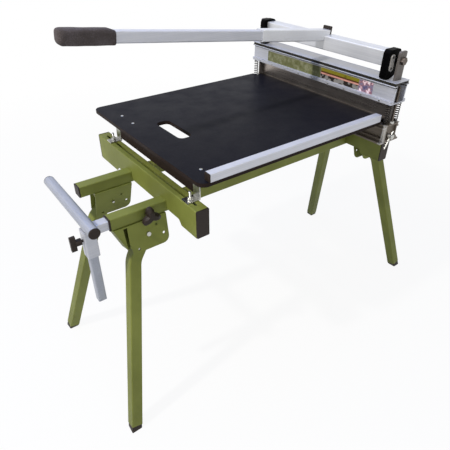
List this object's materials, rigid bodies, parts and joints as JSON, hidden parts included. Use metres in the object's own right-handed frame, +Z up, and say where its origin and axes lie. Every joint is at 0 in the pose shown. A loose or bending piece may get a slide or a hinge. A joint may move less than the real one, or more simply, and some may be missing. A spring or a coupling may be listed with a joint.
{
  "type": "shear stand",
  "caption": "Folding work stand with a hand-lever board shear, table, fence and sliding end support; the legs fold and the lever drives the blade through cams.",
  "frame": {"origin": "middle of the bounding box on the floor", "axes": "+X along the rails towards the shear, +Y away from the fence, +Z up"},
  "size_m": [1.5018, 0.7408, 1.2078],
  "materials": {
    "olive_paint": "satin powder coat",
    "black_plastic": "fine moulded texture",
    "black_nylon": "smooth machined",
    "faced_plywood": "smooth phenolic film",
    "anodised_aluminium": "satin extruded",
    "zinc_plate": "bright zinc",
    "ground_steel": "ground",
    "spring_wire": "drawn wire",
    "foam": "soft cellular foam"
  },
  "bodies": {
    "stand": {"anvil_bar": "ground_steel", "fence": "anodised_aluminium", "fence_plug": "black_plastic", "front_guide_rod": "ground_steel", "front_left_leg_bracket": "olive_paint", "front_left_pivot_bolt": "zinc_plate", "front_left_spring": "spring_wire", "front_pivot_bolt": "zinc_plate", "front_rail": "olive_paint", "front_right_leg_bracket": "olive_paint", "front_right_pivot_bolt": "zinc_plate", "front_right_spring": "spring_wire", "front_table_bracket": "zinc_plate", "front_upright": "anodised_aluminium", "left_mount_front_cap": "black_plastic", "left_mount_rear_cap": "black_plastic", "left_tool_mount": "olive_paint", "lower_beam": "anodised_aluminium", "rail_collar": "black_plastic", "rear_guide_rod": "ground_steel", "rear_left_leg_bracket": "olive_paint", "rear_left_pivot_bolt": "zinc_plate", "rear_left_spring": "spring_wire", "rear_pivot_bolt": "zinc_plate", "rear_rail": "olive_paint", "rear_rail_plug": "black_plastic", "rear_right_leg_bracket": "olive_paint", "rear_right_pivot_bolt": "zinc_plate", "rear_right_spring": "spring_wire", "rear_table_bracket": "zinc_plate", "rear_upright": "anodised_aluminium", "right_mount_front_cap": "black_plastic", "right_mount_rear_cap": "black_plastic", "right_tool_mount": "olive_paint", "table": "faced_plywood"},
    "front_left_leg": {"front_left_leg": "olive_paint", "front_left_foot": "black_plastic"},
    "front_right_leg": {"front_right_leg": "olive_paint", "front_right_foot": "black_plastic"},
    "rear_left_leg": {"rear_left_leg": "olive_paint", "rear_left_foot": "black_plastic"},
    "rear_right_leg": {"rear_right_leg": "olive_paint", "rear_right_foot": "black_plastic"},
    "arm": {"extension_arm": "anodised_aluminium"},
    "support": {"support_bar": "anodised_aluminium", "support_bar_front_cap": "black_plastic", "support_bar_rear_cap": "black_plastic"},
    "post_knob": {"post_knob": "black_plastic"},
    "arm_knob": {"arm_knob": "black_plastic"},
    "clamp": {"clamp_screw": "zinc_plate"},
    "blade_beam": {"upper_beam": "anodised_aluminium", "blade": "ground_steel"},
    "lever": {"cam_shaft": "anodised_aluminium", "front_cam": "black_nylon", "rear_cam": "black_nylon", "front_cam_plate": "zinc_plate", "rear_cam_plate": "zinc_plate", "sleeve_plug": "black_plastic", "lever_tube": "anodised_aluminium", "foam_grip": "foam"}
  },
  "joints": [
    {"name": "front_left_leg_fold", "type": "hinge", "parent": "stand", "child": "front_left_leg", "pos_m": [-0.53086, -0.15578, 0.649], "axis": [0, -0.9705, 0.2412], "range_deg": [0, 100]},
    {"name": "front_right_leg_fold", "type": "hinge", "parent": "stand", "child": "front_right_leg", "pos_m": [0.53714, -0.15578, 0.649], "axis": [0, 0.9705, -0.2412], "range_deg": [0, 88]},
    {"name": "rear_left_leg_fold", "type": "hinge", "parent": "stand", "child": "rear_left_leg", "pos_m": [-0.53086, 0.09258, 0.649], "axis": [0, -0.9705, -0.2412], "range_deg": [0, 100]},
    {"name": "rear_right_leg_fold", "type": "hinge", "parent": "stand", "child": "rear_right_leg", "pos_m": [0.53714, 0.09258, 0.649], "axis": [0, 0.9705, 0.2412], "range_deg": [0, 88]},
    {"name": "lever_turn", "type": "hinge", "parent": "stand", "child": "lever", "pos_m": [0.35814, 0.0084, 1.0563], "axis": [0, 1, 0], "range_deg": [-18, 60]},
    {"name": "blade_slide", "type": "slide", "parent": "stand", "child": "blade_beam", "axis": [0, 0, 1], "range_m": [-0.00786, 0.02619], "deforming": ["front_left_spring", "front_right_spring", "rear_left_spring", "rear_right_spring"]},
    {"name": "arm_slide", "type": "slide", "parent": "stand", "child": "arm", "axis": [-1, 0, 0], "range_m": [0, 0.3]},
    {"name": "support_lift", "type": "slide", "parent": "arm", "child": "support", "axis": [0, 0, 1], "range_m": [0, 0.18]},
    {"name": "post_knob_turn", "type": "hinge", "parent": "arm", "child": "post_knob", "pos_m": [-0.69686, -0.1436, 0.69], "axis": [-1, 0, 0], "continuous": true},
    {"name": "arm_knob_turn", "type": "hinge", "parent": "stand", "child": "arm_knob", "pos_m": [-0.51986, -0.1436, 0.717], "axis": [0, -1, 0], "continuous": true},
    {"name": "clamp_turn", "type": "hinge", "parent": "stand", "child": "clamp", "pos_m": [0.34604, -0.3441, 0.8073], "axis": [0, -1, 0], "continuous": true}
  ],
  "couplings": [
    {"joint": "blade_slide", "follows": "lever_turn", "m_per_rad": 0.025}
  ]
}
